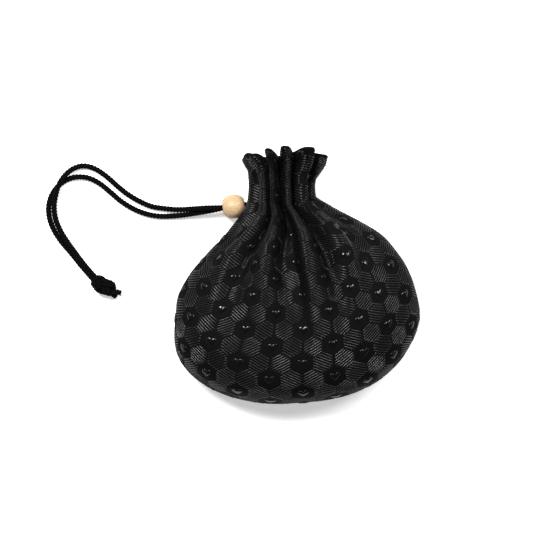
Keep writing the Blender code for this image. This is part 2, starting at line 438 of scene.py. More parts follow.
@dataclass(frozen=True)
class FineGrain:
    """The shared grain of small irregular pits and fibres, as a shader node group."""

    name: str = "fine grain"
    cell_ratio: float = 2.3
    cell_share: float = 0.6

    def group(self) -> NodeTree:
        """Return the group, building it the first time."""
        ready = bpy.data.node_groups.get(self.name)
        if ready:
            return ready
        tree = bpy.data.node_groups.new(self.name, "ShaderNodeTree")
        for label, kind in (("Vector", "NodeSocketVector"), ("Scale", "NodeSocketFloat"),
                            ("Depth", "NodeSocketFloat")):
            tree.interface.new_socket(label, in_out="INPUT", socket_type=kind)
        for label, kind in (("Shade", "NodeSocketFloat"), ("Normal", "NodeSocketVector")):
            tree.interface.new_socket(label, in_out="OUTPUT", socket_type=kind)
        start = tree.nodes.new("NodeGroupInput").outputs
        coarse = new_node(tree, "ShaderNodeTexNoise", Detail=5.0, Roughness=0.6, Vector=start["Vector"],
                          Scale=start["Scale"])
        cells = new_node(tree, "ShaderNodeTexVoronoi", feature="SMOOTH_F1", Vector=start["Vector"],
                         Scale=maths(tree, "MULTIPLY", start["Scale"], self.cell_ratio))
        height = maths(tree, "MULTIPLY_ADD", cells.outputs["Distance"], self.cell_share, coarse.outputs[0])
        bump = new_node(tree, "ShaderNodeBump", Strength=0.6, Distance=start["Depth"], Height=height)
        new_node(tree, "NodeGroupOutput", Shade=coarse.outputs[0], Normal=bump.outputs["Normal"])
        return tree


@dataclass(frozen=True)
class Finish:
    """One surface's shader values and its grain."""

    name: str
    dark: tuple[float, float, float]
    light: tuple[float, float, float]
    roughness_low: float
    roughness_high: float
    grain_scale: float
    grain_depth: float
    specular: float
    spread: float = 0.2

    def material(self) -> Material:
        """Return the finish's material, building it the first time."""
        ready = bpy.data.materials.get(self.name)
        if ready:
            return ready
        made, tree, shader = new_material(self.name)
        place = tree.nodes.new("ShaderNodeTexCoord").outputs["Object"]
        grain = new_node(tree, "ShaderNodeGroup", node_tree=FineGrain().group(), Vector=place,
                         Scale=self.grain_scale, Depth=self.grain_depth).outputs
        rough = new_node(tree, "ShaderNodeMapRange", Value=grain["Shade"], To_Min=self.roughness_low,
                         To_Max=self.roughness_high)
        set_node(tree, shader, Base_Color=self.colour(tree, grain["Shade"], place), Normal=grain["Normal"],
                 Roughness=rough.outputs["Result"], Specular_IOR_Level=self.specular)
        return made

    def colour(self, tree: NodeTree, shade: NodeSocket,
               place: NodeSocket) -> NodeSocket:
        """Make the base colour.

        Args:
            tree: The material's tree.
            shade: The grain's shade.
            place: Object coordinates, not used here.

        Returns:
            The colour.
        """
        return two_tone(tree, shade, self.dark, self.light, self.spread)


@dataclass(frozen=True)
class WoodFinish(Finish):
    """Pale turned wood, with growth lines along the bead's bore."""

    line_scale: float = 1400.0
    stretch: tuple = (0.12, 1.0, 1.0)
    slant: float = -0.12
    spread: float = 0.16

    def colour(self, tree: NodeTree, shade: NodeSocket,
               place: NodeSocket) -> NodeSocket:
        """Make the base colour from growth lines drawn out along X.

        Args:
            tree: The material's tree.
            shade: The grain's shade, not used here.
            place: Object coordinates.

        Returns:
            The colour.
        """
        stretch = new_node(tree, "ShaderNodeMapping", Vector=place, Scale=self.stretch,
                           Rotation=(0.0, 0.0, self.slant))
        lines = new_node(tree, "ShaderNodeTexNoise", Detail=4.0, Roughness=0.55, Scale=self.line_scale,
                         Vector=stretch.outputs["Vector"])
        return two_tone(tree, lines.outputs[0], self.dark, self.light, self.spread)


CLOTH = Finish("soft black cloth", (0.0017, 0.0016, 0.0019), (0.0032, 0.0030, 0.0034), 0.66, 0.82,
               900.0, 0.0001, specular=0.05)
LINES = Finish("raised glossy lines", (0.0016, 0.0016, 0.002), (0.0032, 0.0032, 0.0037), 0.28, 0.32,
               1400.0, 0.000002, specular=0.48)
HEARTS = Finish("raised glossy hearts", (0.0022, 0.0022, 0.0026), (0.004, 0.004, 0.0045), 0.1, 0.18,
                1200.0, 0.00002, specular=0.26)
TAPE = Finish("casing tape", (0.008, 0.008, 0.009), (0.014, 0.014, 0.015), 0.75, 0.9, 1200.0, 0.0001,
              specular=0.2)
YARN = Finish("black cord yarn", (0.0008, 0.0008, 0.001), (0.0024, 0.0024, 0.0028), 0.6, 0.8, 2600.0, 0.00008,
              specular=0.05)
WOOD = WoodFinish("pale turned wood", (0.44, 0.28, 0.145), (0.54, 0.39, 0.23), 0.38, 0.52, 900.0, 0.00002,
                  specular=0.4)


# ---------------------------------------------------------------- the gathered shape


@dataclass(frozen=True)
class Fold:
    """One ridge or valley of the gathers.

    Attributes:
        neck_angle: Its place round the neck, in degrees from the right seam.
        body_angle: Where it dies out on the body.
        height: 1 for a full ridge, -1 for a full valley.
        reach: The guide-curve knot at which it dies out.
        mouth_angle: Its place round the mouth.
        mouth_height: Its height at the mouth, in the same terms as height.
        mouth_rise: How far its top stands above the mouth's mean line, in millimetres.
        cloth_angle: Where it lies on the flat cloth at the neck; None for body_angle.
    """

    neck_angle: float
    body_angle: float
    height: float
    reach: float
    mouth_angle: float
    mouth_height: float
    mouth_rise: float
    cloth_angle: float | None = None


FOLDS = (
    Fold(5, 8, 1.0, 5.4, 17, 0.7, -2.3), Fold(24, 44, -1.0, 4.0, 41, -0.4, -1.6),
    Fold(44, 60, 1.0, 3.2, 57, 1.0, 0.6), Fold(64, 66, -1.1, 2.2, 79, -0.9, -2.2),
    Fold(82, 80, 1.0, 2.4, 93.5, 1.15, 0.8), Fold(89, 85, -0.8, 1.4, 101, -0.8, -4.2),
    Fold(97, 90, -1.1, 1.4, 107, -0.9, -4.4), Fold(107, 103, 1.0, 3.0, 114.5, 1.1, -0.3),
    Fold(118, 128, -0.9, 1.4, 125, -0.7, -5.6), Fold(131, 141, 0.6, 3.6, 142, 0.7, -2.4),
    Fold(152, 154, -1.0, 4.2, 160, 0.75, -1.6), Fold(182, 178, 1.0, 5.0, 183, 0.8, -3.6, 165),
    Fold(206, 205, -0.9, 4.8, 206, -0.9, -2.6, 174), Fold(228, 226, 0.9, 4.2, 228, 0.9, -0.4, 188),
    Fold(248, 246, -1.0, 3.6, 248, -1.0, -2.4, 214), Fold(268, 268, 1.0, 3.2, 268, 1.0, -0.2, 240),
    Fold(290, 292, -1.0, 3.8, 290, -1.0, -2.4, 272), Fold(312, 314, 1.0, 4.2, 312, 1.0, -0.6, 305),
    Fold(338, 338, -0.9, 4.8, 340, -0.8, -2.6, 334),
)


@dataclass(frozen=True)
class PouchShape:
    """The gathered pouch's surface, read at an angle round it and a knot along its guide curves."""

    right_seam: tuple = ((67.3, -24, 17), (66.8, -17, 17), (65, -9, 17.5), (62, 0.4, 18), (56.5, 10.8, 18),
                         (44.2, 24.9, 18), (25, 36, 17), (9, 41, 16))
    left_seam: tuple = ((-66.6, -31, 17), (-66.1, -22, 17), (-65, -11.5, 17), (-61.4, -3.4, 17),
                        (-55.7, 5, 16.5), (-43.8, 18.6, 15), (-32.2, 31.4, 13), (-24, 38.5, 12))
    front_crest: tuple = ((-8, -71.2, 15), (-6, -65, 31), (-3, -50, 38.5), (-1, -30, 41), (-2, -8, 40),
                          (-4, 13, 37), (-7, 29, 32), (-8.3, 38.5, 28.5))
    back_crest: tuple = ((-8, -71.2, 15), (-6, -65, 4), (-3, -52, -1), (-1, -30, -3), (-2, -8, -3),
                         (-4, 13, -2), (-7, 29, 1), (-8.3, 38.5, 3.8))
    fullness_left: float = 1.13
    fullness_right: float = 0.64
    upper_fullness_left: float = 0.9
    upper_fullness_right: float = 1.0
    upper_knot: float = 2.5
    swell: float = 1.012
    neck_start: float = 4.6
    casing: float = 7.0
    mouth: float = 11.0
    flare_row: float = 0.6
    neck_centre_x: tuple = (-8.2, -8.1, -7.6, -5.7, -5.9)
    neck_centre_z: tuple = (16.0, 16.0, 16.2, 17.2, 18.6)
    neck_radius_x: tuple = (14.6, 14.3, 14.9, 17.6, 19.8)
    neck_radius_z: tuple = (12.5, 12.2, 12.2, 13.2, 14.6)
    neck_height: tuple = (40.0, 47.0, 54.4, 61.6, 67.6)
    front_rise: tuple = (0.0, 0.2, 0.6, 1.2, 1.6)
    right_lift: float = 4.0
    left_lift: float = 2.0
    lift_rows: tuple = (0.5, 2.5)
    right_hold: float = 0.7
    row_drop: float = 5.0
    seam_turn: float = 0.75
    body_fold_gain: float = 1.0
    gain_knot: float = 5.0
    gain_width: float = 1.4
    fold_depth: tuple = (3.3, 3.5, 3.9, 4.2, 4.5)
    seam_pinch: float = 0.4
    flat_top: float = 0.3
    ridge_width: float = 1.35
    onset: float = 0.65
    seam_width: float = 1.6
    gather_height: float = 0.3
    gather_count: float = 37.0
    gather_drift: float = 1.7
    gather_rows: tuple = (6.6, 7.5, 10.0)
    dent_height: float = 0.35
    dents: tuple = ((1.0, 0.071, 0.043, 1.1), (0.8, 0.052, -0.088, 2.6), (0.5, 0.13, 0.11, 0.4))
    half_width: float = 68.0
    bottom: float = -72.0
    bottom_ease: float = 20.0
    middle: tuple = (-1.0, -5.0, 17.0)
    lowest: float = 1.5

    def neck_share(self, knot: np.ndarray) -> np.ndarray:
        """Return how far each row has become the neck, from 0 to 1."""
        return smooth_step(self.neck_start, self.casing, knot)

    def turned(self, angle: np.ndarray, knot: np.ndarray) -> np.ndarray:
        """Return the angle round the section, with the left seam turned down at the neck."""
        return angle + self.seam_turn * self.neck_share(knot)[:, None] * np.sin(angle / 2) ** 2

    def body(self, angle: np.ndarray, knot: np.ndarray) -> np.ndarray:
        """Return the filled body's places in millimetres, one row for each knot.

        Args:
            angle: Angles round the pouch, in radians.
            knot: Rows along the guide curves.

        Returns:
            Places by row and angle.
        """
        held = np.minimum(knot, self.casing)
        right, left, front, back = (
            on_curve(list(guide), held)[:, None, :]
            for guide in (self.right_seam, self.left_seam, self.front_crest, self.back_crest))
        turn = np.cos(angle)[None, :, None]
        upper = smooth_step(0.0, self.upper_knot, knot)[:, None, None]
        at_right = self.fullness_right + (self.upper_fullness_right - self.fullness_right) * upper
        at_left = self.fullness_left + (self.upper_fullness_left - self.fullness_left) * upper
        fullness = np.where(turn > 0, at_right, at_left)
        across = (1 + np.sign(turn) * np.abs(turn) ** fullness) / 2
        crest = np.where(np.sin(angle)[None, :, None] >= 0, front, back)
        places = left + (right - left) * across
        places = places + (crest - (left + right) / 2) * np.abs(np.sin(angle))[None, :, None]
        return places * np.array([self.swell, 1.0, 1.0])

    def neck(self, turned: np.ndarray, knot: np.ndarray) -> np.ndarray:
        """Return the neck's places in millimetres before its folds.

        Args:
            turned: Angles round the section, by row, in radians.
            knot: Rows along the guide curves.

        Returns:
            Places by row and angle.
        """
        place = np.maximum(knot - self.casing, 0.0)
        centre_x, centre_z, radius_x, radius_z, height, rise = (
            on_curve(list(values), place)
            for values in (self.neck_centre_x, self.neck_centre_z, self.neck_radius_x, self.neck_radius_z,
                           self.neck_height, self.front_rise))
        right = np.clip(np.cos(turned), 0.0, 1.0) ** 2
        left = np.clip(-np.cos(turned), 0.0, 1.0) ** 2
        loose = 1 - self.right_hold * (right + left / 2)
        drop = np.maximum(self.casing - knot, 0.0)[:, None] * self.row_drop * loose
        near_casing = 1 - smooth_step(*(self.casing + row for row in self.lift_rows), knot)[:, None]
        lift = (self.right_lift * right + self.left_lift * left) * near_casing
        return np.stack([centre_x + radius_x * np.cos(turned), height - drop + lift + rise * np.sin(turned),
                         centre_z + radius_z * np.sin(turned)], axis=-1)

    def fold_stops(self, place: float) -> np.ndarray:
        """List one row's folds round the section.

        Args:
            place: The row's knot.

        Returns:
            One row for each fold, in order round the section: its angle in degrees, its height, its rise in
            millimetres and its angle on the flat cloth in degrees.
        """
        flare = float(smooth_step(self.casing + self.flare_row, self.mouth, place))
        necked = float(smooth_step(self.neck_start, self.casing, place))
        stops = []
        for fold in FOLDS:
            grown = float(smooth_step(fold.reach, self.casing, place))
            angle = fold.body_angle + (fold.neck_angle - fold.body_angle) * grown
            angle += (fold.mouth_angle - fold.neck_angle) * flare
            level = fold.height + (fold.mouth_height - fold.height) * flare
            on_cloth = fold.body_angle if fold.cloth_angle is None else fold.cloth_angle
            on_cloth = fold.body_angle + (on_cloth - fold.body_angle) * necked
            stops.append((angle % 360, level * grown ** self.onset, fold.mouth_rise * flare, on_cloth))
        return np.array(sorted(stops))

    def folds(self, turned: np.ndarray, knot: np.ndarray) -> tuple[np.ndarray, np.ndarray]:
        """Return the gathers' height, from -1 to 1, and the mouth's rise in millimetres.

        Args:
            turned: Angles round the section, by row, in radians.
            knot: Rows along the guide curves.

        Returns:
            The heights and the rises, by row and angle.
        """
        heights = np.zeros_like(turned)
        rises = np.zeros_like(turned)
        degrees = np.degrees(turned) % 360
        for row, place in enumerate(knot):
            listed = self.fold_stops(place)
            stops, level, lift, _ = np.vstack([listed[-1:] - [[360, 0, 0, 0]], listed,
                                               listed[:1] + [[360, 0, 0, 0]]]).T
            index = np.clip(np.searchsorted(stops, degrees[row], side="right") - 1, 0, len(stops) - 2)
            ratio = (degrees[row] - stops[index]) / (stops[index + 1] - stops[index])
            from_ridge = level[index] > level[index + 1]
            off_ridge = np.where(from_ridge, ratio, 1 - ratio)
            fall = smooth_step(self.flat_top, 1.0, off_ridge)
            drop = np.where(from_ridge, fall, 1 - fall)
            ratio = np.where(from_ridge, ratio ** self.ridge_width, 1 - (1 - ratio) ** self.ridge_width)
            ease = (1 - np.cos(math.pi * ratio)) / 2
            heights[row] = level[index] + (level[index + 1] - level[index]) * ease
            rises[row] = lift[index] + (lift[index + 1] - lift[index]) * drop
        return heights, rises

    def places(self, angle: np.ndarray, knot: np.ndarray) -> np.ndarray:
        """Return the cloth's outer places.

        Args:
            angle: Angles round the pouch, in radians from the right seam over the front.
            knot: Rows along the guide curves, from the bottom seam to the mouth.

        Returns:
            Places in metres, indexed by row and angle.
        """
        turned = self.turned(angle, knot)
        share = self.neck_share(knot)[:, None, None]
        body = self.body(angle, knot)
        base = body + (self.neck(turned, knot) - body) * share
        height, rise = self.folds(turned, knot)
        depth = on_curve(list(self.fold_depth), np.maximum(knot - self.casing, 0.0))
        gain = np.exp(-(((knot - self.gain_knot) / self.gain_width) ** 2))[:, None]
        depth *= 1 + self.body_fold_gain * gain
        outward = np.stack([np.cos(turned), np.zeros_like(turned), np.sin(turned)], axis=-1)
        swell = self.soft_dents(base)
        gathers = self.fine_gathers(turned, knot)
        base = base + outward * (depth * height + swell + gathers)[..., None]
        base[..., 1] += rise
        base = self.pinch_seams(base)
        base[..., 2] = np.maximum(base[..., 2], self.lowest)
        return base * MM

    def fine_gathers(self, turned: np.ndarray, knot: np.ndarray) -> np.ndarray:
        """Return the small tucks between the gathers, strongest just under the casing.

        Args:
            turned: Angles round the section, by row, in radians.
            knot: Rows along the guide curves.

        Returns:
            Heights in millimetres.
        """
        full, fading, faded = self.gather_rows
        near = smooth_step(self.neck_start, full, knot) * (1 - 0.6 * smooth_step(fading, faded, knot))
        drift = self.gather_drift * np.sin(2.0 * turned + 0.7 * knot[:, None])
        return self.gather_height * near[:, None] * np.sin(self.gather_count * turned + drift)

    def soft_dents(self, base: np.ndarray) -> np.ndarray:
        """Return the slight unevenness of the filled cloth, in millimetres.

        Args:
            base: The surface's places, in millimetres.

        Returns:
            Heights by row and angle.
        """
        x, y = base[..., 0], base[..., 1]
        waves = sum(height * np.sin(across * x + along * y + start)
                    for height, across, along, start in self.dents)
        inside = (np.clip(1 - (np.abs(x) / self.half_width) ** 4, 0, 1)
                  * np.clip((y - self.bottom) / self.bottom_ease, 0, 1))
        return self.dent_height * waves * inside

    def pinch_seams(self, base: np.ndarray) -> np.ndarray:
        """Draw the cloth in beside the seams.

        Args:
            base: The surface's places, in millimetres.

        Returns:
            The moved places.
        """
        reach = np.linalg.norm(base - base[:, :1], axis=-1)
        other = np.linalg.norm(base - base[:, -1:], axis=-1)
        bottom = np.linalg.norm(base - base[:1], axis=-1)
        nearest = np.minimum(np.minimum(reach, other), bottom)
        amount = self.seam_pinch * np.exp(-((nearest / self.seam_width) ** 2))
        inward = unit(np.array(self.middle) - base)
        inward[..., 2] = 0.0
        return base + inward * amount[..., None]


# ---------------------------------------------------------------- cloth panels


@dataclass
class ClothPanel:
    """One gathered cloth panel, from its bottom seam to its hemmed mouth."""

    side: Side
    shape: PouchShape
    columns: int = 210
    body_rows: int = 118
    row_power: float = 1.3
    ruffle_rows: int = 62
    thickness: float = 1.0 * MM
    hem_thickness: float = 1.9 * MM
    hem_width: float = 6.0 * MM
    hem_start: float = 0.75
    seam_gap: float = 0.3 * MM
    flat_width: float = 158.0 * MM
    flat_length: float = 166.0 * MM
    cut_share: float = 0.78
    even_knot: float = 3.0
    smooth_columns: int = 34
    gathered_rows: tuple = (4.4, 6.4)
    shared_rows: tuple = (3.2, 5.6)
    seam_margin: float = 2.0
    valley_power: float = 4.0
    rim_steps: int = 5

    def rows(self) -> np.ndarray:
        """Return the rows' knots, closer together where the bottom turns under."""
        body = self.shape.casing * (np.arange(self.body_rows) / self.body_rows) ** self.row_power
        ruffle = np.linspace(self.shape.casing, self.shape.mouth, self.ruffle_rows + 1)
        return np.concatenate([body, ruffle])

    def surface(self) -> tuple[np.ndarray, np.ndarray]:
        """Return the middle surface's places and outward normals.

        Returns:
            Both by row and column, the places in metres.
        """
        angle = self.side.value + np.linspace(0.0, math.pi, self.columns + 1)
        places = self.shape.places(angle, self.rows())
        places[..., 2] += self.seam_gap / 2 if self.side is Side.FRONT else -self.seam_gap / 2
        places[..., 2] = np.maximum(places[..., 2], self.shape.lowest * MM)
        normals = unit(np.cross(np.gradient(places, axis=0), np.gradient(places, axis=1)))
        return places, normals

    def flat_places(self, places: np.ndarray) -> np.ndarray:
        """Return where each point of the surface lies on the flat cloth, in metres.

        Args:
            places: The middle surface.

        Returns:
            Across and along: across from the panel's middle, along from the casing.
        """
        down = self.smoothed(np.linalg.norm(np.diff(places, axis=0), axis=2))
        along = np.concatenate([np.zeros((1, places.shape[1])), np.cumsum(down, axis=0)], axis=0)
        along = along - along[self.body_rows]
        mirrored = -1.0 if self.side is Side.FRONT else 1.0
        return np.stack([mirrored * (self.cloth_share(places) - 0.5) * self.flat_width, along], axis=-1)

    def smoothed(self, lengths: np.ndarray) -> np.ndarray:
        """Average each row's values over its neighbours, so that the gathers don't bend the pattern.

        Args:
            lengths: Values by row and column.

        Returns:
            The averaged values.
        """
        window = np.hanning(2 * self.smooth_columns + 1)
        window /= window.sum()
        wide = np.pad(lengths, ((0, 0), (self.smooth_columns, self.smooth_columns)), mode="edge")
        return np.stack([np.convolve(row, window, mode="valid") for row in wide])

    def cloth_share(self, places: np.ndarray) -> np.ndarray:
        """Return how far across the flat cloth each place lies, from 0 to 1.

        On a gather's ridge the cloth keeps its true width. What the ridges can't hold lies in the valleys.

        Args:
            places: The middle surface.

        Returns:
            Shares by row and column.
        """
        steps = np.linalg.norm(np.diff(places, axis=1), axis=2)
        reach = np.concatenate([np.zeros((len(places), 1)), np.cumsum(steps, axis=1)], axis=1)
        rows = self.rows()
        widest = int(np.argmin(np.abs(rows - self.even_knot)))
        even = reach[widest] / reach[widest, -1]
        angle = self.side.value + np.linspace(0.0, math.pi, self.columns + 1)
        turned = np.degrees(self.shape.turned(angle, rows))
        degrees = np.degrees(angle)
        gathered = smooth_step(*self.gathered_rows, rows)
        share = np.empty_like(reach)
        for row, place in enumerate(rows):
            stops = self.shape.fold_stops(place)
            for column, ends in ((0, turned[row]), (3, degrees)):
                stops = stops[(stops[:, column] > ends[0] + self.seam_margin)
                              & (stops[:, column] < ends[-1] - self.seam_margin)]
            at = np.concatenate([turned[row, :1], stops[:, 0], turned[row, -1:]])
            cloth = np.concatenate([degrees[:1], np.maximum.accumulate(stops[:, 3]), degrees[-1:]])
            level = np.concatenate([-stops[:1, 1], stops[:, 1], -stops[-1:, 1]])
            travelled = np.interp(at, turned[row], reach[row])
            shares = np.interp(cloth, degrees, even)
            index = np.clip(np.searchsorted(at, turned[row], side="right") - 1, 0, len(at) - 2)
            width = np.maximum(travelled[index + 1] - travelled[index], 1e-6)
            held = np.maximum(shares[index + 1] - shares[index], 1e-6)
            ratio = (reach[row] - travelled[index]) / width
            from_ridge = level[index] > level[index + 1]
            ratio = np.where(from_ridge, ratio, 1 - ratio)
            true_width = 1 - np.maximum(1 - width / (held * self.flat_width), 0.0) * gathered[row]
            ratio = true_width * ratio + (1 - true_width) * ratio ** self.valley_power
            share[row] = np.where(from_ridge, shares[index] + held * ratio, shares[index + 1] - held * ratio)
        plain = reach / reach[:, -1:]
        return plain + (share - plain) * smooth_step(*self.shared_rows, rows)[:, None]

    def build(self, material: Material) -> Object:
        """Build the panel with its thickness, its rounded mouth and its flat-cloth UV map.

        Args:
            material: The cloth.

        Returns:
            The panel.
        """
        places, normals = self.surface()
        flat = self.flat_places(places)
        half = self.half_thickness(flat)
        along = unit(places[-1] - places[-2])
        layers = [places + normals * half]
        for step in range(1, self.rim_steps + 1):
            turn = math.pi * step / (self.rim_steps + 1)
            bow = normals[-1] * math.cos(turn) + along * math.sin(turn)
            layers.append((places[-1] + bow * half[-1])[None])
        layers.append((places - normals * half)[::-1])
        grid = np.concatenate(layers, axis=0)
        flats = np.concatenate([flat, np.repeat(flat[-1:], self.rim_steps, axis=0), flat[::-1]], axis=0)
        piece = link(f"{self.side.name.lower()}_cloth", self.closed_mesh(grid), material)
        self.write_uv(piece.data, flats.reshape(-1, 2))
        return piece

    def half_thickness(self, flat: np.ndarray) -> np.ndarray:
        """Return half the cloth's thickness at each place, more where the mouth is hemmed.

        Args:
            flat: Places on the flat cloth.

        Returns:
            Half thicknesses by row and column.
        """
        from_mouth = flat[-1:, :, 1] - flat[..., 1]
        hem = 1 - smooth_step(self.hem_width * self.hem_start, self.hem_width, from_mouth)
        return (self.thickness + (self.hem_thickness - self.thickness) * hem)[..., None] / 2

    def closed_mesh(self, grid: np.ndarray) -> Mesh:
        """Join the layers' rows, and close the seam edges between the outer and inner layers.

        Args:
            grid: The outer layer, the rim and the inner layer, row by row.

        Returns:
            The closed mesh.
        """
        rows, columns = grid.shape[:2]
        number = np.arange(rows * columns).reshape(rows, columns)
        faces = np.roll(quads(number), -1, axis=1).tolist()
        half = rows // 2
        for column, flip in ((0, False), (columns - 1, True)):
            for row in range(half):
                other = rows - 1 - row
                ring = [number[row, column], number[row + 1, column],
                        number[other - 1, column], number[other, column]]
                ring = list(dict.fromkeys(int(corner) for corner in ring))
                if len(ring) > 2:
                    faces.append(ring[::-1] if flip else ring)
        for column in range(columns - 1):
            faces.append([int(number[0, column]), int(number[0, column + 1]),
                          int(number[-1, column + 1]), int(number[-1, column])])
        mesh = mesh_from(f"{self.side.name.lower()}_cloth", grid.reshape(-1, 3), faces)
        face_outwards(mesh)
        return mesh

    def write_uv(self, mesh: Mesh, flats: np.ndarray) -> None:
        """Write the flat-cloth places as the mesh's UV map.

        Args:
            mesh: The mesh.
            flats: Each point's place on the flat cloth, in metres.
        """
        layer = mesh.uv_layers.new(name="flat_cloth")
        corners = np.empty(len(mesh.loops), dtype=np.int32)
        mesh.loops.foreach_get("vertex_index", corners)
        layer.data.foreach_set("uv", (flats[corners] * RaisedPattern.UV_SCALE + 0.5).ravel())

    def pattern_base(self) -> Object:
        """Make the helper surface that the raised pattern is laid on."""
        places, normals = self.surface()
        flat = self.flat_places(places)
        outer = places + normals * self.half_thickness(flat)
        rows, columns = outer.shape[:2]
        faces = quads(np.arange(rows * columns).reshape(rows, columns)).tolist()
        base = link(f"{self.side.name.lower()}_pattern_base",
                    mesh_from("pattern_base", outer.reshape(-1, 3), faces))
        self.write_uv(base.data, flat.reshape(-1, 2))
        outward = base.data.attributes.new("outward", "FLOAT_VECTOR", "POINT")
        outward.data.foreach_set("vector", normals.reshape(-1, 3).ravel())
        return base


# ---------------------------------------------------------------- raised pattern


@dataclass
class RaisedPattern:
    """Tortoiseshell hexagons of raised lines round blank hexagons that each hold a heart."""

    UV_SCALE = 4.0

    step: float
    phase: tuple[float, float]
    cell: float = 10.5 * MM
    pitch: float = 1.33 * MM
    line_width: float = 0.66 * MM
    line_height: float = 0.23 * MM
    shoulder: tuple[float, float] = (0.3, 0.8)
    end_width: float = 0.7
    end_height: float = 0.35
    cell_gap: float = 0.14 * MM
    heart_width: float = 5.4 * MM
    heart_height: float = 0.55 * MM
    heart_points: int = 26
    heart_rings: int = 5
    heart_bulge: float = 0.8
    sink: float = 0.12 * MM
    line_angle: float = math.radians(30)

    def motif_of_lines(self) -> Object:
        """Make one hexagon's set of level raised lines, each a low rounded bar."""
        bm = bmesh.new()
        flat_half = self.cell / 2 - self.cell_gap
        count = int(2 * flat_half / self.pitch)
        for number in range(count + 1):
            offset = (number - count / 2) * self.pitch
            self.add_bar(bm, offset, self.half_length(offset, flat_half))
        return link_bmesh("lines_motif", bm)

    def half_length(self, offset: float, flat_half: float) -> float:
        """Return half the hexagon's width at an offset from its middle, between its two level sides."""
        return (2 * flat_half - abs(offset)) / math.sqrt(3)

    def add_bar(self, bm: bmesh.types.BMesh, offset: float, half: float) -> None:
        """Add one bar with a rounded section and tapered ends.

        Args:
            bm: The mesh that takes the bar.
            offset: The bar's place across the lines.
            half: Half its length.
        """
        spans = max(int(round(2 * half / self.step)), 2)
        across, up = self.shoulder
        section = [(-0.5, -self.sink), (-across, self.line_height * up), (0.0, self.line_height),
                   (across, self.line_height * up), (0.5, -self.sink)]
        rings = []
        for place in range(spans + 1):
            along = -half + 2 * half * place / spans
            end = place in (0, spans)
            ring = [bm.verts.new((along, offset + width * self.line_width * (self.end_width if end else 1.0),
                                  height * (self.end_height if end and height > 0 else 1.0)))
                    for width, height in section]
            rings.append(ring)
        for first, second in zip(rings, rings[1:]):
            for corner in range(len(section)):
                after = (corner + 1) % len(section)
                bm.faces.new((first[corner], second[corner], second[after], first[after]))
        bm.faces.new(rings[0])
        bm.faces.new(rings[-1][::-1])

    def motif_of_heart(self) -> Object:
        """Make one domed heart from rings that shrink towards its crown."""
        outline = self.heart_outline(self.heart_points)
        bm = bmesh.new()
        rings = []
        for level in range(self.heart_rings):
            turn = math.pi / 2 * level / self.heart_rings
            size = math.cos(turn) ** self.heart_bulge
            height = self.heart_height * math.sin(turn) - (self.sink if level == 0 else 0.0)
            rings.append([bm.verts.new((x * size, y * size, height)) for x, y in outline])
        crown = bm.verts.new((0.0, 0.0, self.heart_height))
        for first, second in zip(rings, rings[1:]):
            for corner in range(len(outline)):
                after = (corner + 1) % len(outline)
                bm.faces.new((first[corner], first[after], second[after], second[corner]))
        for corner in range(len(outline)):
            bm.faces.new((rings[-1][corner], rings[-1][(corner + 1) % len(outline)], crown))
        bm.faces.new(rings[0][::-1])
        return link_bmesh("heart_motif", bm)

    def heart_outline(self, count: int) -> list[tuple[float, float]]:
        """Return a heart's outline, anticlockwise, point down.

        Args:
            count: How many points it has.

        Returns:
            Its points, in metres.
        """
        points = []
        for number in range(count):
            turn = 2 * math.pi * number / count
            x = 16 * math.sin(turn) ** 3
            y = 13 * math.cos(turn) - 5 * math.cos(2 * turn) - 2 * math.cos(3 * turn) - math.cos(4 * turn)
            points.append((-x / 32 * self.heart_width, (y + 1.5) / 32 * self.heart_width))
        return points

    def lattice(self, flat_width: float, low: float, high: float) -> Object:
        """Make the hexagons' centres as points that say what fills each.

        Args:
            flat_width: The panel's width.
            low: The lowest place along the cloth.
            high: The highest.

        Returns:
            A helper object of loose points.
        """
        places = []
        kinds = []
        row_pitch = self.cell * math.sqrt(3) / 2
        first = int((low - self.phase[1]) / row_pitch) - 2
        last = int((high - self.phase[1]) / row_pitch) + 3
        for row in range(first, last):
            for column in range(-30, 31):
                x = self.cell * (column + row / 2) + self.phase[0]
                y = row_pitch * row + self.phase[1]
                if abs(x) < flat_width / 2 + self.cell / 2 and low - self.cell < y < high + self.cell:
                    places.append((x, y, 0.0))
                    kinds.append((column - row) % 3)
        mesh = bpy.data.meshes.new("lattice")
        mesh.from_pydata(places, [], [])
        kind = mesh.attributes.new("cell_kind", "INT", "POINT")
        kind.data.foreach_set("value", kinds)
        return link("lattice", mesh)

    def tree(self) -> tuple[NodeTree, dict[str, str]]:
        """Build the tree that fills the hexagons and lays them on the cloth.

        Returns:
            The tree and its inputs' identifiers by name.
        """
        tree, start, end, identifiers = new_geometry_tree("raised pattern", {
            "Cloth": "NodeSocketObject", "Lines": "NodeSocketObject", "Heart": "NodeSocketObject",
            "Line Angle": "NodeSocketFloat", "Line Material": "NodeSocketMaterial",
            "Heart Material": "NodeSocketMaterial"})
        cells = []
        for cell, source, turn in ((Cell.HEART, "Heart", 0.0), (Cell.FALLING_LINES, "Lines", -1.0),
                                   (Cell.RISING_LINES, "Lines", 1.0)):
            info = new_node(tree, "GeometryNodeObjectInfo", Object=start.outputs[source])
            angle = maths(tree, "MULTIPLY", start.outputs["Line Angle"], turn)
            euler = new_node(tree, "ShaderNodeCombineXYZ", Z=angle)
            rotation = new_node(tree, "FunctionNodeEulerToRotation", Euler=euler.outputs[0])
            placed = new_node(tree, "GeometryNodeInstanceOnPoints", Points=start.outputs["Geometry"],
                              Selection=is_kind(tree, cell), Instance=info.outputs["Geometry"],
                              Rotation=rotation.outputs[0])
            cells.append(placed.outputs["Instances"])
        laid = self.lay_on_cloth(tree, start, realise(tree, cells))
        lined = dress(tree, laid, start.outputs["Line Material"])
        hearted = dress(tree, lined, start.outputs["Heart Material"], is_kind(tree, Cell.HEART))
        set_node(tree, end, Geometry=hearted)
        return tree, identifiers

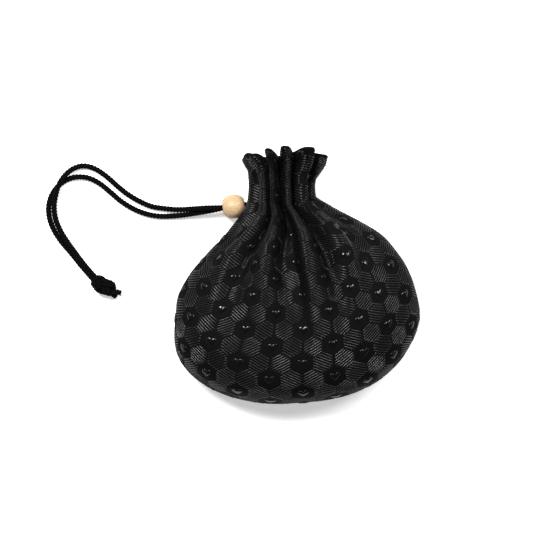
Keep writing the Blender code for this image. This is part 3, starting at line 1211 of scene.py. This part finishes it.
    def lay_on_cloth(self, tree: NodeTree, start: Node,
                     flat: NodeSocket) -> NodeSocket:
        """Move flat geometry onto the cloth, and drop what lies past its edges.

        Args:
            tree: The tree that takes the nodes.
            start: The tree's input node.
            flat: The flat geometry, its height along Z.

        Returns:
            The geometry on the cloth.
        """
        cloth = new_node(tree, "GeometryNodeObjectInfo", Object=start.outputs["Cloth"]).outputs["Geometry"]
        place = tree.nodes.new("GeometryNodeInputPosition").outputs[0]
        split = new_node(tree, "ShaderNodeSeparateXYZ", Vector=place).outputs
        across, along = (maths(tree, "MULTIPLY_ADD", split[axis], self.UV_SCALE, 0.5) for axis in "XY")
        level = new_node(tree, "ShaderNodeCombineXYZ", X=across, Y=along).outputs[0]
        uv = read_attribute(tree, "flat_cloth")
        spot, outward = (new_node(tree, "GeometryNodeSampleUVSurface", data_type="FLOAT_VECTOR", Mesh=cloth,
                                  Value=source, Source_UV_Map=uv, Sample_UV=level).outputs
                         for source in (place, read_attribute(tree, "outward")))
        raised = vector_maths(tree, "SCALE", outward["Value"], split["Z"])
        outside = new_node(tree, "FunctionNodeBooleanMath", operation="NOT", Boolean=spot["Is Valid"])
        marked = store_attribute(tree, flat, "off", outside.outputs[0], "BOOLEAN")
        moved = new_node(tree, "GeometryNodeSetPosition", Geometry=marked,
                         Position=vector_maths(tree, "ADD", spot["Value"], raised))
        kept = new_node(tree, "GeometryNodeDeleteGeometry", Geometry=moved.outputs["Geometry"],
                        Selection=read_attribute(tree, "off", "BOOLEAN"))
        return kept.outputs["Geometry"]

    def build(self, panel: ClothPanel) -> Object:
        """Lay the pattern on one panel and return it as a piece.

        Args:
            panel: The cloth panel.

        Returns:
            The pattern.
        """
        base = panel.pattern_base()
        lines = self.motif_of_lines()
        heart = self.motif_of_heart()
        places, _ = panel.surface()
        flat = panel.flat_places(places)
        points = self.lattice(panel.flat_width, float(flat[..., 1].min()), float(flat[..., 1].max()))
        tree, identifiers = self.tree()
        piece = grow(points, tree, identifiers, {
            "Cloth": base, "Lines": lines, "Heart": heart, "Line Angle": self.line_angle,
            "Line Material": LINES.material(), "Heart Material": HEARTS.material()},
            f"{panel.side.name.lower()}_raised_pattern")
        discard(base, lines, heart)
        close_holes(piece.data)
        return piece


def close_holes(mesh: Mesh) -> None:
    """Close the ends left where bars were cut at the cloth's edge, and point all faces outwards.

    Args:
        mesh: The pattern's mesh, changed in place.
    """
    bm = bmesh.new()
    bm.from_mesh(mesh)
    loose = [vert for vert in bm.verts if not vert.link_faces]
    bmesh.ops.delete(bm, geom=loose, context="VERTS")
    bmesh.ops.holes_fill(bm, edges=[edge for edge in bm.edges if edge.is_boundary], sides=0)
    bm.to_mesh(mesh)
    bm.free()
    face_outwards(mesh)


# ---------------------------------------------------------------- cord


@dataclass
class BraidedCord:
    """A round braid of eight flattened yarns laid along a path, four wound each way."""

    YARNS = 8

    diameter: float = 3.0 * MM
    lay: float = 7.4 * MM
    step: float = 0.36 * MM
    yarn_width: float = 0.52 * MM
    yarn_thickness: float = 0.34 * MM
    weave_depth: float = 0.26 * MM
    core_radius: float = 1.1 * MM
    core_step: float = 1.2 * MM
    yarn_sides: int = 6
    loft: float = 0.22 * MM

    def tree(self) -> tuple[NodeTree, dict[str, str]]:
        """Build the tree that winds the yarns round a curve.

        Returns:
            The tree and its inputs' identifiers by name.
        """
        tree, start, end, identifiers = new_geometry_tree("braid", {
            "Radius": "NodeSocketFloat", "Lay": "NodeSocketFloat", "Step": "NodeSocketFloat",
            "Yarn Width": "NodeSocketFloat", "Yarn Thickness": "NodeSocketFloat",
            "Weave Depth": "NodeSocketFloat", "Yarn Sides": "NodeSocketInt", "Core Radius": "NodeSocketFloat",
            "Material": "NodeSocketMaterial"})
        fine = new_node(tree, "GeometryNodeResampleCurve", mode="LENGTH", Curve=start.outputs["Geometry"],
                        Length=start.outputs["Step"])
        copies = new_node(tree, "GeometryNodeDuplicateElements", domain="SPLINE", Amount=self.YARNS,
                          Geometry=fine.outputs["Curve"])
        number = copies.outputs["Duplicate Index"]
        hand = maths(tree, "MULTIPLY_ADD", maths(tree, "MODULO", number, 2.0), 2.0, -1.0)
        place = maths(tree, "FLOOR", maths(tree, "DIVIDE", number, 2.0))
        along = new_node(tree, "GeometryNodeSplineParameter").outputs["Length"]
        turns = maths(tree, "DIVIDE", along, start.outputs["Lay"])
        wound = maths(tree, "MULTIPLY", maths(tree, "MULTIPLY", turns, 2 * math.pi), hand)
        angle = maths(tree, "MULTIPLY_ADD", place, 4 * math.pi / self.YARNS, wound)
        over = maths(tree, "COSINE", maths(tree, "MULTIPLY", turns, self.YARNS * math.pi))
        lift = maths(tree, "MULTIPLY", maths(tree, "MULTIPLY", over, hand), start.outputs["Weave Depth"])
        radius = maths(tree, "ADD", start.outputs["Radius"], lift)
        normal = tree.nodes.new("GeometryNodeInputNormal").outputs["Normal"]
        tangent = tree.nodes.new("GeometryNodeInputTangent").outputs["Tangent"]
        side = vector_maths(tree, "CROSS_PRODUCT", tangent, normal)
        outward = vector_maths(
            tree, "ADD", vector_maths(tree, "SCALE", normal, maths(tree, "COSINE", angle)),
            vector_maths(tree, "SCALE", side, maths(tree, "SINE", angle)))
        stored = store_attribute(tree, copies.outputs["Geometry"], "outward", outward)
        read = read_attribute(tree, "outward")
        sized = store_attribute(tree, stored, "reach", radius, "FLOAT")
        offset = vector_maths(tree, "SCALE", read, read_attribute(tree, "reach", "FLOAT"))
        moved = new_node(tree, "GeometryNodeSetPosition", Geometry=sized, Offset=offset)
        turned = new_node(tree, "GeometryNodeSetCurveNormal", mode="FREE", Curve=moved.outputs["Geometry"],
                          Normal=read)
        yarns = self.sweep(tree, start, turned.outputs["Curve"])
        core = self.core(tree, start, fine.outputs["Curve"])
        set_node(tree, end, Geometry=dress(tree, realise(tree, [core, yarns]), start.outputs["Material"]))
        return tree, identifiers

    def sweep(self, tree: NodeTree, start: Node,
              curves: NodeSocket) -> NodeSocket:
        """Sweep the yarn's flat oval section along the wound curves.

        Args:
            tree: The tree that takes the nodes.
            start: The tree's input node.
            curves: The wound curves.

        Returns:
            The yarns.
        """
        ring = new_node(tree, "GeometryNodeCurvePrimitiveCircle", mode="RADIUS", Radius=1.0,
                        Resolution=start.outputs["Yarn Sides"])
        size = new_node(tree, "ShaderNodeCombineXYZ", X=start.outputs["Yarn Thickness"],
                        Y=start.outputs["Yarn Width"], Z=1.0)
        oval = new_node(tree, "GeometryNodeTransform", Scale=size.outputs[0], Geometry=ring.outputs["Curve"])
        return new_node(tree, "GeometryNodeCurveToMesh", Fill_Caps=True, Curve=curves,
                        Profile_Curve=oval.outputs[0]).outputs["Mesh"]

    def core(self, tree: NodeTree, start: Node,
             curve: NodeSocket) -> NodeSocket:
        """Sweep the plain core under the yarns.

        Args:
            tree: The tree that takes the nodes.
            start: The tree's input node.
            curve: The cord's centreline.

        Returns:
            The core.
        """
        ring = new_node(tree, "GeometryNodeCurvePrimitiveCircle", mode="RADIUS", Resolution=8,
                        Radius=start.outputs["Core Radius"])
        coarse = new_node(tree, "GeometryNodeResampleCurve", mode="LENGTH", Curve=curve,
                          Length=self.core_step)
        return new_node(tree, "GeometryNodeCurveToMesh", Fill_Caps=True, Curve=coarse.outputs["Curve"],
                        Profile_Curve=ring.outputs["Curve"]).outputs["Mesh"]

    def build(self, name: str, paths: list[np.ndarray]) -> Object:
        """Braid a cord along each path, all in one piece.

        Args:
            name: The piece's name.
            paths: The centrelines, in metres.

        Returns:
            The braided piece.
        """
        curve = bpy.data.curves.new(name, "CURVE")
        curve.dimensions = "3D"
        curve.twist_mode = "MINIMUM"
        for path in paths:
            spline = curve.splines.new("POLY")
            spline.points.add(len(path) - 1)
            spline.points.foreach_set("co", np.hstack([path, np.ones((len(path), 1))]).ravel())
        helper = link(f"{name}_line", curve)
        tree, identifiers = self.tree()
        radius = self.diameter / 2 - self.yarn_thickness - self.weave_depth + self.loft
        return grow(helper, tree, identifiers, {
            "Radius": radius, "Lay": self.lay, "Step": self.step, "Yarn Width": self.yarn_width,
            "Yarn Thickness": self.yarn_thickness, "Weave Depth": self.weave_depth,
            "Yarn Sides": self.yarn_sides, "Core Radius": self.core_radius,
            "Material": YARN.material()}, name)


@dataclass
class OverhandKnot:
    """The overhand knot that ties both strands together, drawn tight by relaxing its centrelines."""

    starts: tuple = ((-113.7, -0.1, 4.75), (-113.9, -2.0, 1.6))
    heading: tuple = (0.66, -0.75, 0.0)
    tips: tuple = ((-98.6, -9.8, 3.6), (-101.6, -11.8, 1.7))
    centre: tuple = (-108.5, -6.3, 4.3)
    turn: float = math.radians(-22)
    loop_size: float = 3.1
    clearance: float = 2.05
    gather_across: float = 0.02
    gather_along: float = 0.012
    lowest: float = 1.5
    points: int = 84
    stages: int = 90
    rounds: int = 14
    shrink: float = 0.985
    tight: float = 0.66
    half_turn: float = 2.5
    beside: float = 0.55
    rise: float = 2.0
    lead: float = 1.2
    neighbours: int = 8
    smoothing: float = 0.22
    push: float = 0.55

    def loose(self, place: int) -> np.ndarray:
        """Return one strand's centreline before the knot is drawn tight, in millimetres.

        Args:
            place: 0 for the upper strand, 1 for the lower.

        Returns:
            The centreline, from the strand's end to its tail's tip.
        """
        turn = np.linspace(self.half_turn, -self.half_turn, 200)
        loop = np.stack([np.sin(turn) + 2 * np.sin(2 * turn), np.cos(turn) - 2 * np.cos(2 * turn),
                         -1.25 * np.sin(3 * turn)], axis=1) * self.loop_size
        along = unit(np.gradient(loop, axis=0))
        beside = unit(np.cross(along, np.array([0.0, 0.0, 1.0])))
        loop = loop + beside * self.clearance * (self.beside * (1 - 2 * place))
        spin = np.array([[math.cos(self.turn), -math.sin(self.turn), 0.0],
                         [math.sin(self.turn), math.cos(self.turn), 0.0], [0.0, 0.0, 1.0]])
        loop = loop @ spin.T + np.array(self.centre) + np.array([0.0, 0.0, self.rise])
        start = np.array(self.starts[place])
        tip = np.array(self.tips[place])
        lead = start + np.array(self.heading) * self.lead
        whole = np.vstack([start, lead, loop, tip])
        return spaced(whole, path_length(whole) / self.points)

    def drawn_tight(self) -> list[np.ndarray]:
        """Return both centrelines, in metres, once the knot holds."""
        lines = [self.loose(0), self.loose(1)]
        sizes = [len(line) for line in lines]
        places = np.concatenate(lines)
        strand = np.repeat([0, 1], sizes)
        order = np.concatenate([np.arange(size) for size in sizes])
        same = strand[:, None] == strand[None]
        near = same & (np.abs(order[:, None] - order[None]) < self.neighbours)
        pinned = (order < 2) | (order >= np.array(sizes)[strand] - 1)
        held = places[pinned].copy()
        inner = np.flatnonzero((order > 0) & (order < np.array(sizes)[strand] - 1))
        rest = float(np.linalg.norm(places[1] - places[0]))
        for _ in range(self.stages):
            rest *= self.shrink
            for _ in range(self.rounds):
                places, short = self.apart(places, near)
                places = self.gathered(places)
                middle = (places[inner - 1] + places[inner + 1]) / 2
                places[inner] += self.smoothing * (middle - places[inner])
                for offset in (0, 1):
                    places = self.evened(places, same, rest, offset)
                places[:, 2] = np.maximum(places[:, 2], self.lowest)
                places[pinned] = held
            if short > self.clearance * (1 - self.tight):
                break
        LOG.info("knot: spacing %.2f mm, overlap %.2f mm", rest, short)
        return [places[strand == number] * MM for number in (0, 1)]

    def gathered(self, places: np.ndarray) -> np.ndarray:
        """Draw the cord towards the knot's middle, mostly across its axis.

        Args:
            places: The centrelines' points.

        Returns:
            The moved points.
        """
        axis = np.array([math.cos(self.turn), math.sin(self.turn), 0.0])
        away = places - np.array(self.centre)
        along = (away @ axis)[:, None] * axis
        return places - along * self.gather_along - (away - along) * self.gather_across

    def apart(self, places: np.ndarray, near: np.ndarray) -> tuple[np.ndarray, float]:
        """Push touching parts of the cord apart.

        Args:
            places: The centrelines' points.
            near: Pairs of points that are neighbours along one strand.

        Returns:
            The moved points and the deepest overlap.
        """
        gap = places[:, None] - places[None]
        distance = np.maximum(np.linalg.norm(gap, axis=2), 1e-6)
        short = np.where(near, 0.0, np.maximum(self.clearance - distance, 0.0))
        push = (gap / distance[..., None] * short[..., None]).sum(axis=1)
        count = np.maximum((short > 0).sum(axis=1), 1)[:, None]
        return places + push / count * self.push, float(short.max())

    def evened(self, places: np.ndarray, same: np.ndarray, rest: float, offset: int) -> np.ndarray:
        """Bring every other span of the cord to its length.

        Args:
            places: The centrelines' points.
            same: Pairs of points on one strand.
            rest: A span's length.
            offset: 0 or 1, the first span.

        Returns:
            The moved points.
        """
        first = np.arange(offset, len(places) - 1, 2)
        first = first[same[first, first + 1]]
        span = places[first + 1] - places[first]
        length = np.maximum(np.linalg.norm(span, axis=1, keepdims=True), 1e-6)
        shift = span * (length - rest) / length / 2
        places[first] += shift
        places[first + 1] -= shift
        return places


@dataclass
class Drawstring:
    """The doubled cord: two braided strands from the neck's left seam, and the knot at their end."""

    diameter: float = 3.0 * MM
    upper_easing: tuple = ((-99.0, 14.0, -0.5),)
    lower_easing: tuple = ((-108.0, 14.0, -0.6), (-64.0, 12.0, 0.8))
    upper_route: tuple = (
        (-21.5, 40.1, 8.8), (-23.6, 40.05, 8.65), (-29, 39.35, 8.65), (-35.3, 38.6, 8.65), (-41.5, 37.9, 8.6),
        (-46.2, 37.75, 8.5), (-51.2, 37.7, 8.0), (-58.7, 37.2, 5.6), (-66.9, 36.9, 2.9), (-75.1, 37.7, 1.6),
        (-81.6, 38.9, 1.55), (-88.1, 41.8, 1.55), (-94.6, 45.8, 1.55), (-100.3, 50.3, 1.55),
        (-106, 55.3, 1.55), (-111.8, 59.3, 1.55), (-116.8, 61.2, 1.55), (-121.3, 61.4, 1.7),
        (-125.7, 59.7, 2.9), (-129.8, 56.1, 4.5), (-133.1, 51.1, 4.9), (-135.1, 45.2, 4.1),
        (-136.1, 38.6, 3.3), (-135.3, 31.8, 3.0), (-132.9, 25.7, 3.0), (-129.6, 20.2, 3.4),
        (-125.1, 14.0, 4.0), (-120.4, 7.7, 4.4), (-116.3, 2.8, 4.75), (-113.7, -0.1, 4.75))
    lower_route: tuple = (
        (-21.5, 40.1, 5.3), (-23.6, 40.05, 5.35), (-29, 39.35, 5.35), (-35.3, 38.6, 5.35),
        (-41.5, 37.7, 5.35), (-46.2, 36.6, 5.4), (-51.2, 35.5, 5.35), (-58.7, 33.9, 3.7),
        (-65.3, 32.9, 2.1), (-72.6, 32.7, 1.55),
        (-79.1, 33.3, 1.55), (-85.6, 34.9, 1.55), (-92.2, 37.8, 1.55), (-98.7, 42.1, 1.55),
        (-104.4, 47.1, 1.55), (-110.1, 51.8, 1.55), (-115.9, 54.8, 1.55), (-121.8, 55.6, 1.55),
        (-127.6, 54.4, 1.55), (-132.8, 51.3, 1.55), (-137.0, 46.2, 1.55), (-139.2, 39.6, 1.55),
        (-138.9, 32.4, 1.55), (-136.3, 25.4, 1.55), (-132.1, 19.0, 1.55), (-126.7, 12.7, 1.55),
        (-121.5, 6.4, 1.55), (-117.1, 1.4, 1.55), (-113.9, -2.0, 1.6))

    def path(self, route: tuple, easing: tuple) -> np.ndarray:
        """Return a strand's centreline in metres.

        Args:
            route: The strand's places in the frame, in millimetres.
            easing: Where the strand lies a little to one side: a middle along X, a spread and a rise along Y.

        Returns:
            The centreline.
        """
        fine = on_curve(list(route), np.linspace(0, len(route) - 1, 14 * len(route)))
        for middle, spread, rise in easing:
            fine[:, 1] += rise * np.exp(-(((fine[:, 0] - middle) / spread) ** 2))
        return spaced(fine * MM, 1.0 * MM)

    def build(self) -> None:
        braid = BraidedCord(diameter=self.diameter)
        knot = braid.build("knot_braid", OverhandKnot().drawn_tight())
        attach(knot, BODY)
        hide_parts("cord_knot")
        for name, route, easing in (("upper", self.upper_route, self.upper_easing),
                                    ("lower", self.lower_route, self.lower_easing)):
            path = self.path(route, easing)
            strand = braid.build(f"{name}_strand_braid", [path])
            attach(strand, BODY)
            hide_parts(f"cord_strand_{name}")
            LOG.info("%s strand: %.1f mm, %d faces", name, path_length(path) / MM, len(strand.data.polygons))


# ---------------------------------------------------------------- bead


@dataclass
class TurnedBead:
    """The round-shouldered wooden bead that the doubled cord runs through."""

    centre: tuple = (-35.3, 38.6, 7.0)
    axis: tuple = (-0.9929, -0.1192, 0.0)
    length: float = 14.7
    radius: float = 6.8
    bore: float = 3.45
    squareness: float = 2.05
    lip: float = 0.3
    lip_slope: float = 0.12
    lip_depth: float = 0.5
    outer_steps: int = 40
    bore_steps: int = 8
    sides: int = 96

    def profile(self) -> list[tuple[float, float]]:
        """Return the turned outline as places along the axis and radii, in millimetres."""
        half = self.length / 2
        lip = self.bore + self.lip
        lowest = math.asin((lip / self.radius) ** (self.squareness / 2))
        outer = []
        for number in range(self.outer_steps + 1):
            turn = lowest + (math.pi - 2 * lowest) * number / self.outer_steps
            reach = abs(math.cos(turn)) ** (2 / self.squareness) * half
            radius = self.radius * math.sin(turn) ** (2 / self.squareness)
            outer.append((math.copysign(reach, math.cos(turn)), radius))
        edge = outer[0][0]
        inner = [(-edge + self.lip_slope, self.bore + self.lip / 2), (-edge + self.lip_depth, self.bore)]
        straight = 2 * edge - 2 * self.lip_depth
        inner += [(-edge + self.lip_depth + straight * number / self.bore_steps, self.bore)
                  for number in range(1, self.bore_steps + 1)]
        return outer + inner + [(edge - self.lip_slope, self.bore + self.lip / 2)]

    def build(self) -> None:
        """Turn the bead and let it ride its own body."""
        outline = self.profile()
        count = len(outline)
        along = Vector(self.axis).normalized()
        across = Vector((0, 0, 1))
        beside = along.cross(across)
        places = []
        for side in range(self.sides):
            turn = 2 * math.pi * side / self.sides
            for reach, radius in outline:
                place = (Vector(self.centre) + along * reach
                         + (across * math.cos(turn) + beside * math.sin(turn)) * radius)
                places.append(tuple(place * MM))
        faces = []
        for side in range(self.sides):
            after = (side + 1) % self.sides
            for number in range(count):
                follow = (number + 1) % count
                faces.append((side * count + number, after * count + number,
                              after * count + follow, side * count + follow))
        mesh = mesh_from("turned_bead", np.array(places), faces)
        face_outwards(mesh)
        bead = link("turned_bead", mesh, WOOD.material())
        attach(bead, BEAD_BODY)
        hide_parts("bead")


# ---------------------------------------------------------------- pouch


@dataclass
class Pouch:
    """The two gathered panels, their raised pattern, and the parts kept from the frame."""

    shape: PouchShape
    pattern_phase: tuple[float, float] = (-12.8 * MM, -87.8 * MM)
    front_step: float = 1.1 * MM
    back_step: float = 1.8 * MM

    def build(self) -> None:
        """Build and dress both panels."""
        for side in Side:
            panel = ClothPanel(side=side, shape=self.shape)
            cloth = panel.build(CLOTH.material())
            step = self.front_step if side is Side.FRONT else self.back_step
            pattern = RaisedPattern(step=step, phase=self.pattern_phase).build(panel)
            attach(cloth, BODY)
            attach(pattern, BODY)
            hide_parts(f"{side.name.lower()}_panel")
            LOG.info("%s: cloth %d faces, pattern %d faces", side.name, len(cloth.data.polygons),
                     len(pattern.data.polygons))
        for name, finish in (("casing_tape", TAPE), ("cord_in_casing", YARN)):
            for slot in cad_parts[name].material_slots:
                slot.material = finish.material()


# ---------------------------------------------------------------- studio


@dataclass
class Studio:
    """A plain white table seen from straight above, lit by a key light, a weaker fill light and a dim room.

    Attributes:
        view_centre: The middle of the view, in millimetres.
        view_width: The width seen, in millimetres.
        lens: The camera's focal length, in millimetres.
        sensor: Its sensor's width, in millimetres.
        table_glow: The light that the table gives off to the camera only.
        room_glow: The world's strength.
        key_light: Its place and side in metres, and its power in watts.
        fill_light: The same.
    """

    view_centre: tuple = (-17.0, 5.0)
    view_width: float = 296.0
    lens: float = 150.0
    sensor: float = 36.0
    table_glow: float = 0.5
    room_glow: float = 0.08
    key_light: tuple = ((-0.42, 0.5, 0.95), 0.36, 20.0)
    fill_light: tuple = ((0.6, 0.45, 0.85), 0.34, 9.0)

    def floor(self) -> Object:
        """Make the table."""
        made, tree, shader = new_material("white table")
        rays = tree.nodes.new("ShaderNodeLightPath")
        glow = maths(tree, "MULTIPLY", rays.outputs["Is Camera Ray"], self.table_glow)
        set_node(tree, shader, Base_Color=(0.92, 0.92, 0.92, 1.0), Roughness=0.9, Specular_IOR_Level=0.1,
                 Emission_Color=(1.0, 1.0, 1.0, 1.0), Emission_Strength=glow)
        corners = np.array([(-3, -3, 0), (3, -3, 0), (3, 3, 0), (-3, 3, 0)], dtype=float)
        return link("table", mesh_from("table", corners, [(0, 1, 2, 3)]), made)

    def light(self, name: str, place: tuple, size: float, power: float) -> Object:
        """Make a square soft light aimed at the pouch.

        Args:
            name: The light's name.
            place: Where it stands, in metres.
            size: Its side, in metres.
            power: Its power, in watts.

        Returns:
            The light.
        """
        data = bpy.data.lights.new(name, "AREA")
        data.shape = "SQUARE"
        data.size = size
        data.energy = power
        lamp = link(name, data)
        lamp.location = place
        lamp.rotation_euler = (-Vector(place)).to_track_quat("-Z", "Y").to_euler()
        return lamp

    def camera(self) -> Object:
        """Make the camera that looks straight down."""
        data = bpy.data.cameras.new("camera")
        data.lens = self.lens
        data.sensor_width = self.sensor
        data.clip_start = 0.05
        camera = link("camera", data)
        height = self.view_width * self.lens / self.sensor + 15
        camera.location = (self.view_centre[0] * MM, self.view_centre[1] * MM, height * MM)
        bpy.context.scene.camera = camera
        return camera

    def build(self) -> None:
        """Set the table, the lights, the world and the camera."""
        world = bpy.data.worlds.new("soft room")
        world.use_nodes = True
        set_node(world.node_tree, world.node_tree.nodes["Background"], Color=(1.0, 1.0, 1.0, 1.0),
                 Strength=self.room_glow)
        bpy.context.scene.world = world
        bpy.context.scene.view_settings.view_transform = "Standard"
        self.floor()
        self.camera()
        self.light("key light", *self.key_light)
        self.light("fill light", *self.fill_light)


def main() -> None:
    """Dress the whole pouch and set the studio."""
    logging.basicConfig(level=logging.INFO)
    Pouch(shape=PouchShape()).build()
    Drawstring().build()
    TurnedBead().build()
    Studio().build()


if __name__ == "__main__":
    main()
